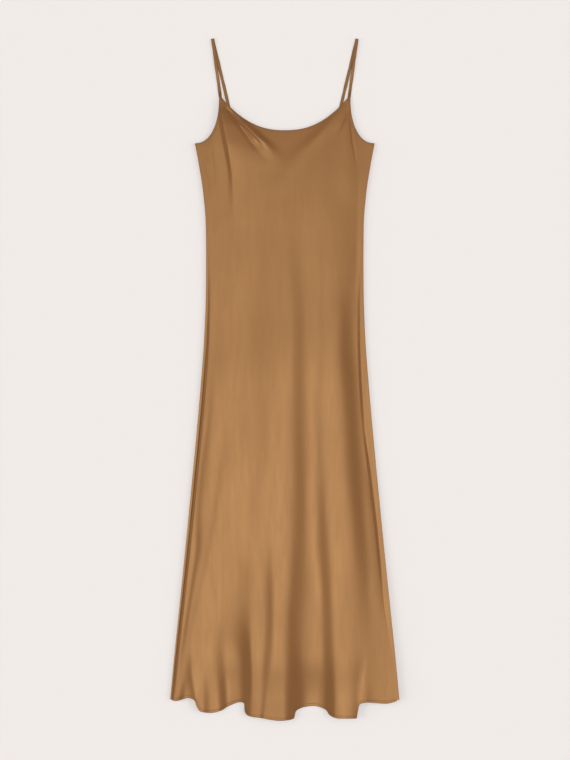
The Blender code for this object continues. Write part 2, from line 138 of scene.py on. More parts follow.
# %% The side seams
Station = namedtuple("Station", "down half_width left_roll right_roll left_dip right_dip right_level")
STATIONS = [
    Station(219.5, 189.2, 3.6, 3.6, 0, 0, 4.4),
    Station(265, 180.6, 3.6, 3.6, 0, 0, 4.4),
    Station(328, 171.0, 3.6, 4.0, 0, 0, 4.4),
    Station(391, 166.0, 3.6, 4.4, 0, 0, 4.4),
    Station(454, 165.2, 5.2, 5.6, 0.1, 0, 4.4),
    Station(528, 165.6, 6.4, 8.6, 0.3, 0.25, 4.4),
    Station(612, 168.3, 6.5, 12.2, 0.7, 0.5, 4.4),
    Station(738, 177.2, 6.5, 16.8, 1.5, 0.8, 4.4),
    Station(822, 184.6, 6.5, 18.2, 1.7, 0.35, 4.4),
    Station(927, 194.5, 6.2, 14.0, 1.7, 1.1, 4.6),
    Station(1053, 206.9, 6.0, 12.0, 1.6, 0.9, 5.8),
    Station(1179, 219.7, 5.2, 12.5, 1.8, 0.1, 7.2),
    Station(1305, 232.8, 4.4, 7.0, 1.6, 0, 8.4),
    Station(1390, 240.7, 3.6, 5.6, 0.8, 0, 9.0),
]


def half_width(down):
    """From the centre line to the outermost line of the side roll."""
    return column(STATIONS, "half_width", "down", down)


def left_seam(down):
    return -half_width(down) + column(STATIONS, "left_roll", "down", down)


def right_seam(down):
    return half_width(down) - column(STATIONS, "right_roll", "down", down)


print(f"across at the waist: {2 * half_width(WAIST):.0f} mm")

# %% The two hems
Point = namedtuple("Point", "across down")
FRONT_HEM = [
    Point(-240.7, 1389.3),
    Point(-229, 1391.7),
    Point(-202, 1384.8),
    Point(-190, 1389.5),
    Point(-184, 1403.5),
    Point(-177, 1413),
    Point(-156, 1416.3),
    Point(-134, 1411.8),
    Point(-118, 1402.8),
    Point(-92, 1394),
    Point(-85, 1397),
    Point(-84, 1413),
    Point(-77, 1422),
    Point(-50, 1426.5),
    Point(-10, 1432),
    Point(19, 1428),
    Point(23, 1413.5),
    Point(38, 1405.5),
    Point(60, 1402.3),
    Point(86, 1410),
    Point(95, 1421.5),
    Point(114, 1427.3),
    Point(150, 1427.3),
    Point(153, 1412),
    Point(157, 1398),
    Point(172, 1394),
    Point(212, 1396.5),
    Point(240.7, 1389.3),
]
BACK_HEM = [
    Point(-240.7, 1389),
    Point(-225, 1385),
    Point(-200, 1381),
    Point(-90, 1387),
    Point(60, 1393),
    Point(200, 1389),
    Point(240.7, 1389),
]
print("points in the front and the back hem:", len(FRONT_HEM), len(BACK_HEM))

# %% [markdown]
# ## Folds
#
# On the bias, satin hangs in long soft flutes. Each side of a flute is a *flank*, a slope that runs down the
# cloth and lifts all that lies to its right. Near the straps the cloth is gathered instead, into *ridges*
# and *creases*. A short table for each one says where it runs, how steep or how high it is, and how wide on
# either side. A cloth simulation would give other folds each time that a setting changes, and these are
# meant to stay where they are.

# %% Tables of folds
def named(kind, tables):
    """The same tables, with the numbers of every row under the names of their columns."""
    return {name: [kind(*row) for row in rows] for name, rows in tables.items()}


# %% The flanks down the left side and over the bust
Flank = namedtuple("Flank", "down across slope left right")
FLANKS = named(Flank, {
    "left seam": [
        (610, -161, 0, 3, 3),
        (730, -170, 0.28, 3, 3),
        (900, -185, 0.25, 3, 3),
        (1100, -205, 0.12, 3, 3),
        (1250, -221, 0, 3, 3),
    ],
    "bust": [
        (250, -20, 0, 50, 40),
        (390, -20, 0.008, 50, 40),
        (530, -20, 0.008, 50, 40),
        (680, -20, 0, 50, 40),
    ],
    "below the left armhole": [
        (230, -150, 0, 25, 25),
        (330, -145, -0.035, 28, 28),
        (600, -145, -0.035, 28, 28),
        (760, -150, 0, 25, 25),
    ],
    "left pleat": [
        (640, -155, 0, 4, 6),
        (738, -153, 0.035, 5, 6),
        (800, -158, 0.06, 5, 7),
        (905, -173, 0.085, 4, 11),
        (1010, -182, 0.085, 4, 10),
        (1060, -181, 0.13, 5, 8),
        (1138, -192.5, 0.13, 4, 5),
        (1201, -202, 0.13, 3, 3.5),
        (1264, -211.5, 0.10, 3, 3.5),
        (1330, -221, 0, 4, 4),
    ],
    "left ripple, upper": [
        (400, -136, 0, 10, 10),
        (520, -138, 0.015, 8, 8),
        (643, -142, 0.02, 8, 8),
        (760, -140, 0, 8, 10),
    ],
    "left ripple, lower": [
        (800, -124, 0, 8, 12),
        (905, -134, 0.045, 7, 12),
        (1063, -159, 0.045, 7, 8),
        (1220, -193, 0.05, 6, 6),
        (1300, -212, 0, 6, 6),
    ],
    "second ripple": [
        (350, -88, 0, 20, 20),
        (464, -90, -0.022, 18, 20),
        (590, -100, -0.045, 18, 20),
        (695, -101, -0.045, 20, 20),
        (800, -119, -0.03, 20, 20),
        (905, -132, 0, 20, 20),
    ],
    "third ripple": [
        (350, -50, 0, 14, 18),
        (464, -50, 0.02, 14, 18),
        (640, -55, 0.022, 14, 20),
        (720, -50, 0.03, 16, 22),
        (853, -45, 0.035, 18, 20),
        (958, -62, 0.045, 16, 26),
        (1040, -64, 0.03, 16, 30),
        (1100, -66, 0, 20, 30),
    ],
})
print("flanks down the left side:", len(FLANKS))

# %% The flanks of the two left lobes
FLANKS.update(named(Flank, {
    "lobe 1, left side": [
        (1285, -200, 0, 10, 10),
        (1325, -199, 0.12, 9, 2.5),
        (1350, -196, 0.17, 11, 2.5),
        (1384, -189.5, 0.14, 9, 2.5),
        (1433, -182, 0.12, 10, 4),
    ],
    "lobe 1, outer crease": [
        (1345, -209, 0, 5, 5),
        (1384, -216.5, 0.2, 6, 5),
        (1433, -225, 0.2, 6, 5),
    ],
    "lobe 1, crest": [
        (1290, -170, 0, 3, 6),
        (1350, -169, -0.09, 2.5, 15),
        (1390, -168, -0.14, 2.5, 25),
        (1433, -168, -0.18, 2.5, 27),
    ],
    "lobe 1, right side": [
        (1200, -138, 0, 18, 14),
        (1273, -136, -0.10, 18, 12),
        (1325, -134, -0.18, 16, 11),
        (1350, -131.5, -0.34, 17, 9),
        (1390, -130, -0.38, 16, 9.5),
        (1433, -126, -0.40, 16, 9.5),
    ],
    "lobe 2, left side": [
        (1060, -79, 0, 30, 22),
        (1115, -79, 0.065, 28, 22),
        (1168, -84, 0.085, 26, 26),
        (1220, -84, 0.13, 22, 16),
        (1264, -79, 0.23, 22, 7),
        (1306, -76, 0.34, 16, 5),
        (1350, -76, 0.36, 15, 6),
        (1390, -79, 0.30, 12, 8),
        (1433, -83, 0.27, 12, 10),
    ],
    "lobe 2, crest": [
        (1050, -33, 0, 9, 8),
        (1115, -31.5, 0.11, 13, 8),
        (1168, -31, 0.155, 13, 9),
        (1220, -31, 0.165, 12, 9),
        (1273, -33, 0.155, 13, 10),
        (1325, -39, 0.145, 10, 10),
        (1367, -42, 0.10, 7, 7),
        (1400, -44.5, 0.12, 4, 4),
        (1433, -50, 0.17, 3, 3),
    ],
}))
print("with those of the two left lobes:", len(FLANKS))

# %% The flanks of the two valleys between the lobes
FLANKS.update(named(Flank, {
    "middle valley, left side": [
        (230, 14, 0, 20, 20),
        (380, 17, -0.03, 20, 20),
        (464, 21, -0.065, 20, 22),
        (548, 27, -0.11, 18, 23),
        (640, 29, -0.14, 18, 22),
        (800, 29, -0.145, 19, 21),
        (905, 32, -0.15, 19, 18),
        (985, 34, -0.158, 24, 15),
        (1063, 29, -0.158, 20, 21),
        (1115, 24, -0.158, 14, 25),
        (1168, 20.5, -0.155, 14, 27),
        (1220, 15.5, -0.165, 13, 25),
        (1273, 16, -0.185, 14, 22),
        (1325, 21, -0.26, 16, 17),
        (1367, 22, -0.26, 14, 17),
        (1433, 19, -0.27, 11, 14),
    ],
    "middle valley, right side": [
        (330, 76, 0, 12, 10),
        (464, 76, 0.04, 12, 8),
        (548, 76, 0.045, 9, 8),
        (643, 76, 0.03, 10, 8),
        (748, 67, 0.06, 10, 12),
        (800, 70, 0.08, 11, 11),
        (864, 73, 0.095, 12, 12),
        (905, 74, 0.10, 14, 14),
        (958, 77.5, 0.13, 17, 13),
        (1010, 79, 0.155, 15, 13),
        (1063, 80.5, 0.17, 16, 15),
        (1115, 83, 0.19, 13, 17),
        (1168, 87.5, 0.20, 14, 14),
        (1220, 90, 0.20, 16, 13),
        (1273, 90.5, 0.215, 14, 15),
        (1325, 93, 0.23, 14, 14),
        (1433, 94.5, 0.25, 13, 12),
    ],
    "right valley": [
        (230, 118, 0, 30, 14),
        (340, 126, -0.018, 30, 14),
        (422, 133, -0.042, 30, 14),
        (464, 134, -0.06, 32, 22),
        (506, 131, -0.082, 30, 24),
        (548, 128, -0.118, 24, 25),
        (590, 128, -0.17, 18, 22),
        (643, 128, -0.21, 18, 20),
        (695, 133, -0.22, 20, 19),
        (748, 138, -0.20, 20, 18),
        (853, 144.5, -0.19, 19, 17),
        (958, 151.5, -0.19, 18, 15),
        (1010, 156, -0.18, 18, 14),
        (1063, 160, -0.16, 19, 15),
        (1115, 165, -0.115, 20, 14),
        (1168, 167, -0.075, 22, 13),
        (1220, 171, -0.05, 26, 15),
        (1273, 170, -0.03, 26, 24),
        (1325, 173, -0.04, 14, 24),
        (1433, 176, -0.05, 10, 24),
    ],
}))
print("with those of the valleys:", len(FLANKS))

# %% The flanks of the right lobe and the right side
FLANKS.update(named(Flank, {
    "foot of lobe 3": [
        (1290, 172, 0, 1.8, 1.8),
        (1330, 167, 0.06, 1.8, 1.8),
        (1380, 159, 0.09, 2, 2.2),
        (1433, 157, 0.09, 2.5, 3),
    ],
    "shade beside the foot": [
        (1335, 184, 0, 8, 10),
        (1370, 176, -0.025, 8, 10),
        (1395, 176, -0.05, 8, 14),
        (1433, 176, -0.06, 8, 14),
    ],
    "lobe 3, right side": [
        (1290, 152, 0, 15, 8),
        (1325, 152, -0.07, 15, 7),
        (1367, 148, -0.07, 15, 6),
        (1433, 150, -0.16, 12, 6),
    ],
    "beside the right seam": [
        (230, 156, 0, 14, 3),
        (300, 153, -0.02, 14, 3),
        (340, 151, -0.03, 14, 3),
        (480, 148, -0.03, 14, 3),
        (560, 146, 0, 14, 3),
    ],
    "right seam, upper": [
        (290, 161, 0, 3, 8),
        (350, 156.5, 0.035, 3, 8),
        (480, 155, 0.035, 3, 8),
        (530, 153, 0.03, 3, 8),
        (570, 152, 0, 3, 8),
    ],
    "right seam": [
        (880, 172, 0, 8, 4),
        (958, 180, -0.09, 8, 4),
        (1063, 193, -0.09, 10, 4),
        (1168, 202, -0.05, 10, 5),
        (1250, 212, 0, 8, 5),
    ],
}))
print("all the flanks:", len(FLANKS))

# %% The gathers near the straps
Fold = namedtuple("Fold", "down across rise left right")
RIDGES = named(Fold, {
    "strap seat, left": [
        (130, -140, 2.2, 22, 26),
        (190, -142, 1.9, 24, 28),
        (260, -138, 0.7, 26, 34),
        (360, -132, 0, 28, 40),
    ],
    "second ridge, left": [
        (135, -134.5, 0.3, 4, 8),
        (147, -134, 0.8, 4, 14),
        (160, -132, 2.4, 5, 26),
        (187, -126.8, 3.4, 6.1, 42),
        (215, -121.4, 3.4, 6.4, 54),
        (243, -116.4, 2.8, 6.1, 60),
        (262, -113.5, 2.2, 5.8, 60),
        (285, -110.5, 1.6, 6, 60),
        (330, -107, 0.8, 8, 58),
        (400, -103, 0, 12, 54),
    ],
    "neck ridge, left": [
        (150, -114, 0.2, 12, 6),
        (170, -95, 1.2, 16, 7),
        (185, -79.5, 2.6, 20, 8.5),
        (208, -56.5, 3.2, 22, 9.5),
        (226, -39.5, 1.8, 24, 12),
        (243, -31, 0.9, 28, 18),
        (262, -25, 0.3, 32, 24),
        (285, -18, 0, 34, 30),
    ],
    "armhole wrinkle, left": [
        (225, -157, 0, 3, 3),
        (240, -154, -0.22, 3, 3),
        (285, -148.5, -0.18, 3, 3),
        (310, -147, 0, 3, 3),
    ],
    "underarm wrinkle, left": [
        (250, -177, 0, 3, 3),
        (266, -172, -0.2, 3, 3),
        (300, -161, -0.2, 3, 3),
        (325, -157, 0, 3, 3),
    ],
    "neck ridge, right": [
        (140, 124, 0, 14, 14),
        (190, 86, 1.2, 17, 17),
        (250, 32, 0.7, 24, 24),
        (340, -20, 0, 34, 34),
    ],
    "armhole wrinkle, right": [
        (165, 136, 0, 2.4, 2.4),
        (176, 138.3, -0.4, 2.4, 2.4),
        (197, 140.4, -0.45, 2.4, 2.4),
        (216, 142, -0.4, 2.4, 2.4),
        (239, 146.5, -0.3, 2.4, 2.4),
        (270, 150, 0, 2.4, 2.4),
    ],
    "seat wrinkle, right": [
        (145, 134, 0, 2.4, 2.4),
        (153, 131.6, -0.4, 2.4, 2.4),
        (169, 126, -0.5, 2.4, 2.4),
        (184, 118.5, -0.3, 2.4, 2.4),
        (202, 110, 0, 2.4, 2.4),
    ],
    "armhole ridge, right": [
        (150, 134, 0, 10, 10),
        (190, 128, 0.7, 14, 14),
        (280, 130, 0.6, 18, 18),
        (350, 136, 0, 18, 18),
    ],
})
CREASES = named(Fold, {
    "valley below it": [
        (145, -124, -0.4, 5, 3),
        (172, -103.5, -2.0, 6, 10),
        (195, -86.5, -2.1, 7, 12),
        (218, -70, -1.5, 8, 14),
        (240, -54, -0.5, 12, 16),
        (262, -38, 0, 20, 12),
    ],
    "tuck beside the ridge": [
        (150, -116, 0, 2.6, 2.6),
        (162, -107, -1.2, 2.4, 2.4),
        (180, -91.5, -1.5, 2.4, 2.4),
        (197, -75.5, -1.4, 2.4, 2.4),
        (214, -59.5, -0.9, 2.6, 2.6),
        (235, -43, 0, 2.6, 2.6),
    ],
})
print("ridges and creases:", len(RIDGES), len(CREASES))

# %% How far the flutes sink over the last stretch to the hem; a negative fall lifts the cloth
Droop = namedtuple("Droop", "across fall")
DROOPS = [
    Droop(-241, 0),
    Droop(-200, 1.6),
    Droop(-160, 3.4),
    Droop(-125, -1.6),
    Droop(-100, -2.8),
    Droop(-70, -2.4),
    Droop(-40, -2.0),
    Droop(-5, -2.0),
    Droop(20, 0.4),
    Droop(55, 2.4),
    Droop(85, 1.8),
    Droop(105, 0),
    Droop(241, 0),
]
print("the deepest fall at the hem:", max(droop.fall for droop in DROOPS), "mm")

# %% [markdown]
# ## The height of the front
#
# The front panel is a height above the surface for every place on the pattern. All flanks, ridges and creases
# are added up first. The sum is then tilted so that it meets both side seams, and lifted in between by the
# air that is caught under the cloth. A plane with a Displace modifier and a drawing of the folds would do the
# same, but a formula can also be asked at the edges, where the hems and stitches have to follow the cloth.

# %% Height that the folds add
BLUR_STEPS = (-28, -14, 0, 14, 28)
BLUR_WEIGHTS = (1, 2, 3, 2, 1)
RIDGE_ROUNDNESS = 2  # the round top of a bell curve
CREASE_ROUNDNESS = 1.25  # nearer to 1, the bottom comes to a point


def drift(rows, name, down):
    """A column of a flank's table, blurred along the cloth, so that no flank starts or ends with a kink."""
    nearby = [column(rows, name, "down", down + step) for step in BLUR_STEPS]
    return np.average(nearby, axis=0, weights=BLUR_WEIGHTS)


def flank_height(rows, across, down):
    """One slope. To its left nothing changes, and to its right all the cloth lies at its new level."""
    centre, slope, left, right = (drift(rows, name, down) for name in Flank._fields[1:])
    beyond = across - centre
    before_centre = left * (1 + np.tanh(beyond / left))
    return slope * np.where(beyond < 0, before_centre, left + right * np.tanh(beyond / right))


def fold_height(rows, roundness, across, down):
    """One ridge, or one crease where its rise is negative, that fades out to both sides of its line."""
    centre, rise, left, right = (column(rows, name, "down", down) for name in Fold._fields[1:])
    beyond = across - centre
    return rise * np.exp(-np.abs(beyond / np.where(beyond < 0, left, right)) ** roundness)


def folds(across, down):
    """All the folds together, before they are levelled at the side seams."""
    height = np.zeros(np.broadcast(across, down).shape)
    for rows in FLANKS.values():
        height += flank_height(rows, across, down)
    for rows in RIDGES.values():
        height += fold_height(rows, RIDGE_ROUNDNESS, across, down)
    for rows in CREASES.values():
        height += fold_height(rows, CREASE_ROUNDNESS, across, down)
    return height


print(f"the folds add {folds(0, WAIST):.1f} mm in the middle of the waist")

# %% Height of the front, with the air under it
LEFT_LEVEL = 2 * ROLL  # height of the left side seam; the right one is in the table of side seams
DIP_WIDTH = 1.9  # how far in from a side seam the dip beside it has mostly gone
AIR = 2.6  # how far the front stands off the level of its seams, under the bust
AIR_LOSS = 0.8  # share of it that is gone from the hips down
AIR_ROUNDNESS = 2.5  # how evenly it spreads before it falls to nothing at the seams
HEM_LIFT = 1.8  # how far the flutes stand off the surface just above the hem

Stretch = namedtuple("Stretch", "start length")
AIR_FILLS = Stretch(185.0, 100.0)  # below the neckline; above it the strap seats sink a little instead
AIR_SINKS = Stretch(300, 300)  # from the bust down to the hips
FLUTES_OPEN = Stretch(1000, 300)
FLUTES_SINK = Stretch(1290, 115)


def over(stretch, down):
    """0 where the stretch starts, 1 from its end on."""
    return ease((down - stretch.start) / stretch.length)


def seam_dip(side, inward, down):
    """How far the cloth turns down beside a side seam, at a distance inward from it."""
    depth = column(STATIONS, "left_dip" if side < 0 else "right_dip", "down", down)
    return depth * np.exp(-((inward / DIP_WIDTH) ** 2))


def front_height(across, down):
    """The folds, tilted so that they meet both side seams, on the air between the two panels."""
    left = left_seam(down)
    right = right_seam(down)
    share = (across - left) / (right - left)
    above_left = folds(left, down) - LEFT_LEVEL
    above_right = folds(right, down) - column(STATIONS, "right_level", "down", down)
    air = AIR * np.tanh((down - AIR_FILLS.start) / AIR_FILLS.length) * (1 - AIR_LOSS * over(AIR_SINKS, down))
    air = air + HEM_LIFT * over(FLUTES_OPEN, down)
    arch = 1 - np.abs(2 * share - 1) ** AIR_ROUNDNESS
    droop = column(DROOPS, "fall", "across", across) * over(FLUTES_SINK, down)
    dips = seam_dip(-1, across - left, down) + seam_dip(1, right - across, down)
    return folds(across, down) - mix(above_left, above_right, share) + air * arch - droop - dips


print(f"the front lies {front_height(0, WAIST):.1f} mm up in the middle of the waist")

# %% [markdown]
# ## The edges of a panel
#
# Each panel is a grid of points. Its first row follows the neckline, the strap seats and the armholes, its
# last row follows the hem, and the rows between go over from one to the other. A plane cut to shape with a
# Boolean modifier would have ragged cells along the cut. Here the cells run with every edge, so that it is
# smooth from close by and can be turned in and stitched.

# %% The top edge, from the neckline to the side seam
ARMHOLE_POWER = 2.1  # 2 would make each armhole a quarter of an ellipse, and more makes it squarer
NECK_CROWDING = 0.42  # how much closer the cells are beside the strap seats than in the middle
TopCells = namedtuple("TopCells", "neck seat armhole")


def top_edge(cells, inner, outer, dip, neck_power, side_across):
    """(across, down) of one half of a panel's top edge, from the centre out past both ends of the seat."""
    even = np.arange(cells.neck) / cells.neck
    neck = even + NECK_CROWDING * np.sin(math.pi * even) / math.pi
    seat = np.linspace(0, 1, cells.seat + 1)[:-1]
    turn = np.linspace(0, math.pi / 2, cells.armhole + 1)
    across = np.concatenate([
        inner.across * neck,
        mix(inner.across, outer.across, seat),
        outer.across + (side_across - outer.across) * (1 - np.cos(turn) ** (2 / ARMHOLE_POWER)),
    ])
    down = np.concatenate([
        dip - (dip - inner.down) * neck**neck_power,
        mix(inner.down, outer.down, seat),
        outer.down + (UNDERARM - outer.down) * np.sin(turn) ** (2 / ARMHOLE_POWER),
    ])
    return across, down


def both_halves(left, right):
    """Two halves that both start at the centre, as one row from left to right."""
    return np.concatenate([left[:0:-1], right])


# %% The hem, and the rows on the way to it
def run_along(across, down):
    """How far each point lies from the first, along the line through them."""
    return np.concatenate([[0], np.cumsum(np.hypot(np.diff(across), np.diff(down)))])


def along_hem(table, count):
    """A hem as that many points, evenly spaced along it."""
    across = np.array([point.across for point in table])
    down = np.array([point.down for point in table])
    run = run_along(across, down)
    at = np.linspace(0, run[-1], count)
    return smooth_curve(run, across, at), smooth_curve(run, down, at)


def row_shares(rows, crowding):
    """Shares of the way from the top edge to the hem, closer together towards both ends."""
    even = np.linspace(0, 1, rows + 1)
    return even - crowding * np.sin(2 * math.pi * even) / (2 * math.pi)


print("the first shares of ten rows:", row_shares(10, 0.75)[:4].round(3))

# %% [markdown]
# ## Satin
#
# Silk satin is woven so that long threads, the floats, lie on its face side by side with few crossings. They
# make it smooth, and they mirror the light softly and in the cloth's own colour. A Principled shader with a
# middling roughness, a trace of metallic and a tinted specular gives that lustre. A picture of cloth could be
# wrapped round the mesh instead, but it would show its pixels from close by and would need unwrapping.

# %% Colours and a helper for nodes
def linear(hex_colour):
    """Linear RGBA of an sRGB hex colour."""
    parts = [int(hex_colour[i: i + 2], 16) / 255 for i in (1, 3, 5)]
    return (*(c / 12.92 if c <= 0.04045 else ((c + 0.055) / 1.055) ** 2.4 for c in parts), 1)


def add_node(tree, kind, inputs, **settings):
    """A node of that kind. Each input, by its name or number, takes a value or another node's output."""
    node = tree.nodes.new(kind)
    for name, value in settings.items():
        setattr(node, name, value)
    for key, value in inputs.items():
        if isinstance(value, bpy.types.NodeSocket):
            tree.links.new(value, node.inputs[key])
        else:
            node.inputs[key].default_value = value
    return node


print("the middle grey #808080 is", round(linear("#808080")[0], 3), "in linear light")

# %% Patterns of the weave and of the fall of the cloth
BIAS = 45  # degrees between the floats and the centre line of a panel that is cut on the bias
# the real floats are 0.1 mm wide; they are drawn as slubs of 1 by 12 mm, the finest that still show from a
# step away
SLUBS_PER_METRE = (900, 80, 300)
# the soft unevenness that pressing leaves, about 9 mm across and 70 mm along the cloth
FALLS_PER_METRE = (110, 14, 60)
RELIEF = 0.00003  # metres that the slubs stand up
SOFT_SHARE = 1.6  # how much stronger the soft unevenness is in the relief than the slubs


def weave(tree, grain_angle):
    """Two noises that lie with the cloth: slubs along its grain, and a soft unevenness down the panel."""
    place = add_node(tree, "ShaderNodeTexCoord", {}).outputs["Object"]
    turn = (0, 0, math.radians(grain_angle))
    grain = add_node(tree, "ShaderNodeMapping", {0: place, "Rotation": turn}).outputs[0]
    floats = add_node(tree, "ShaderNodeMapping", {0: grain, "Scale": SLUBS_PER_METRE}).outputs[0]
    falls = add_node(tree, "ShaderNodeMapping", {0: place, "Scale": FALLS_PER_METRE}).outputs[0]
    fine = {"Vector": floats, "Scale": 1.0, "Detail": 2.0, "Roughness": 0.6}
    broad = {"Vector": falls, "Scale": 1.0, "Detail": 3.0, "Roughness": 0.55}
    slubs = add_node(tree, "ShaderNodeTexNoise", fine).outputs["Fac"]
    soft = add_node(tree, "ShaderNodeTexNoise", broad).outputs["Fac"]
    return slubs, soft


# %% The satin shader
def satin(name, base, lustre, grain_angle=BIAS):
    """Satin weave: smooth, with a soft lustre in its own colour, a little uneven along its threads."""
    material = bpy.data.materials.new(name)
    material.use_nodes = True
    tree = material.node_tree
    shader = tree.nodes["Principled BSDF"]
    slubs, soft = weave(tree, grain_angle)
    sum_of_both = {0: soft, 1: SOFT_SHARE, 2: slubs}
    height = add_node(tree, "ShaderNodeMath", sum_of_both, operation="MULTIPLY_ADD").outputs[0]
    relief = {"Strength": 1.0, "Distance": RELIEF, "Height": height}
    bump = add_node(tree, "ShaderNodeBump", relief).outputs["Normal"]
    shade = add_node(tree, "ShaderNodeMapRange", {"Value": slubs, "To Min": 0.92, "To Max": 1.08})
    tinted = {"Value": shade.outputs["Result"], "Color": linear(base)}
    tone = add_node(tree, "ShaderNodeHueSaturation", tinted).outputs["Color"]
    # satin lies between a polished face (0.2) and plain-woven cloth (0.8), and isn't the same all over
    gloss = add_node(tree, "ShaderNodeMapRange", {"Value": soft, "To Min": 0.37, "To Max": 0.43})
    tree.links.new(tone, shader.inputs["Base Color"])
    tree.links.new(gloss.outputs["Result"], shader.inputs["Roughness"])
    tree.links.new(bump, shader.inputs["Normal"])
    # silk bends light about as glass does, so the shader's own IOR of 1.5 stays
    shader.inputs["Metallic"].default_value = 0.15
    shader.inputs["Specular IOR Level"].default_value = 0.37
    shader.inputs["Specular Tint"].default_value = linear(lustre)
    return material


# %% The four finishes
# the panels: golden brown, with a warm pale lustre on every fold that faces the light
body_satin = satin("silk_satin", "#744D2C", "#FFDCA2")
# the turned edges: the same cloth, a shade darker because it lies three layers thick and is stitched down
edge_satin = satin("turned_edge_satin", "#714A2B", "#FFDCA2")
# the straps: cloth turned into a tube, so its floats run along it and it looks a shade deeper
strap_satin = satin("rouleau_satin", "#6E4B2B", "#FFD9A0", grain_angle=0)
# the stitches: spun thread, darker than the cloth because its twist takes the lustre
thread = satin("spun_thread", "#603D1B", "#E8C58A", grain_angle=0)
print("finishes:", ", ".join(finish.name for finish in (body_satin, edge_satin, strap_satin, thread)))

# %% [markdown]
# ## From points to cloth
#
# A mesh is a list of points and a list of faces. For a grid the faces follow from its rows and columns alone,
# so one function makes them for panels, straps, hems and thread. Cloth also has a thickness. It could be
# modelled as a second grid below the first, but the Solidify modifier adds it in one line and closes the rim.

# %% Points and faces
def add_piece(name, points, faces, material):
    """A smooth-shaded object from points in millimetres."""
    mesh = bpy.data.meshes.new(name)
    mesh.from_pydata((np.asarray(points) * MM).tolist(), [], faces)
    mesh.shade_smooth()
    mesh.materials.append(material)
    piece = bpy.data.objects.new(name, mesh)
    bpy.context.scene.collection.objects.link(piece)
    return piece


def in_frame(across, down, lift):
    """Places on the pattern as points of the frame, whose origin lies halfway down the dress."""
    return np.stack(np.broadcast_arrays(across, LENGTH / 2 - down, lift), axis=-1)


def grid_faces(rows, columns, closed=False):
    """Quads of a grid of points; a closed one joins its last column to its first."""
    strips = columns if closed else columns - 1
    r, c = np.meshgrid(np.arange(rows - 1), np.arange(strips), indexing="ij")
    here = (r * columns + c).ravel()
    beside = (r * columns + (c + 1) % columns).ravel()
    return np.stack([here, here + columns, beside + columns, beside], axis=1).tolist()


# %% A sheet of cloth
def thicken(piece, thickness, offset):
    """Solidify; with an offset of -1 the cloth grows behind its faces, and with 1 in front of them."""
    wall = piece.modifiers.new("satin", "SOLIDIFY")
    wall.thickness = thickness * MM
    wall.offset = offset
    return wall


def cloth(name, across, down, lift, offset, material):
    """A grid of places as a sheet with a thickness and a crisp outer rim."""
    rows, columns = across.shape
    points = in_frame(across, down, lift).reshape(-1, 3)
    piece = add_piece(name, points, grid_faces(rows, columns), material)
    # an edge that only one face uses lies on the rim; marked sharp, it isn't shaded as if it were round
    used = np.zeros(len(piece.data.loops), dtype=np.int32)
    piece.data.loops.foreach_get("edge_index", used)
    rim = piece.data.attributes.new("sharp_edge", "BOOLEAN", "EDGE")
    rim.data.foreach_set("value", np.bincount(used, minlength=len(piece.data.edges)) == 1)
    thicken(piece, SATIN, offset).use_even_offset = True
    return piece


# %% [markdown]
# ## Front panel
#
# The front is one piece on the bias, with a scooped neckline between two small seats for the straps, an
# armhole on each side, and a hem that hangs in three lobes. It could be one subdivided plane that is
# sculpted, but then its edges would have to be sculpted too. Here the grid takes its outline from the edges
# above and its relief from the height of the front.

# %% Points of the front
NECK_DIP = 194.0
NECK_RISE = 66.9
NECK_POWER = 2.33  # 2 would be a parabola; more makes the neckline flatter in the middle
SEAT_INNER = Point(131.1, NECK_DIP - NECK_RISE)
SEAT_OUTER = Point(137.7, 130.2)
FRONT_CELLS = TopCells(neck=64, seat=3, armhole=38)
FRONT_ROWS = 230
FRONT_CROWDING = 0.75  # how much closer the rows are near the top edge and the hem
TOP_SPACING_FADES = 0.22  # share of the length over which the cells still keep the top edge's spacing
HEM_SPACING_FADES = 0.14
SEAM_SLACK = 0.02  # how far each panel stops short of the seam line, so that the two never touch


def share_of_width(across, down):
    """0 at the left seam, 1 at the right seam."""
    return (across - left_seam(down)) / (right_seam(down) - left_seam(down))


def front_points():
    halves = []
    for side_across in (-left_seam(UNDERARM), right_seam(UNDERARM)):
        halves.append(top_edge(FRONT_CELLS, SEAT_INNER, SEAT_OUTER, NECK_DIP, NECK_POWER, side_across))
    left, right = halves
    top_across = both_halves(-left[0], right[0])
    top_down = both_halves(left[1], right[1])
    hem_across, hem_down = along_hem(FRONT_HEM, len(top_across))
    shares = row_shares(FRONT_ROWS, FRONT_CROWDING)[:, None]
    down = mix(top_down, hem_down, shares)
    even = np.linspace(0, 1, len(top_across))
    at_top = share_of_width(top_across, top_down)
    at_hem = np.clip(share_of_width(hem_across, hem_down), 0, 1)
    near_top = ease(1 - shares / TOP_SPACING_FADES)
    near_hem = ease((shares - (1 - HEM_SPACING_FADES)) / HEM_SPACING_FADES)
    width_share = even + (at_top - even) * near_top + (at_hem - even) * near_hem
    across = mix(left_seam(down) + SEAM_SLACK, right_seam(down) - SEAM_SLACK, width_share)
    return across, down, front_height(across, down)


# %% Build the front
front_grid = front_points()
front = cloth("dress_front", *front_grid, -1, body_satin)
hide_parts("front_panel")
lowest, highest = front_grid[2].min(), front_grid[2].max()
print(f"front: {len(front.data.polygons)} faces, from {lowest:.1f} to {highest:.1f} mm up")

# %% [markdown]
# ## Back panel
#
# The back lies flat on the surface, with a lower neckline. At both sides it rolls up and over, and its edge
# is sewn to the front as a narrow strip that lies on top. The roll could be a bevel on a flat sheet, but the
# strip widens and narrows along the seam, so each row of points is worked out as one line: left strip, left
# roll, flat part, right roll, right strip.

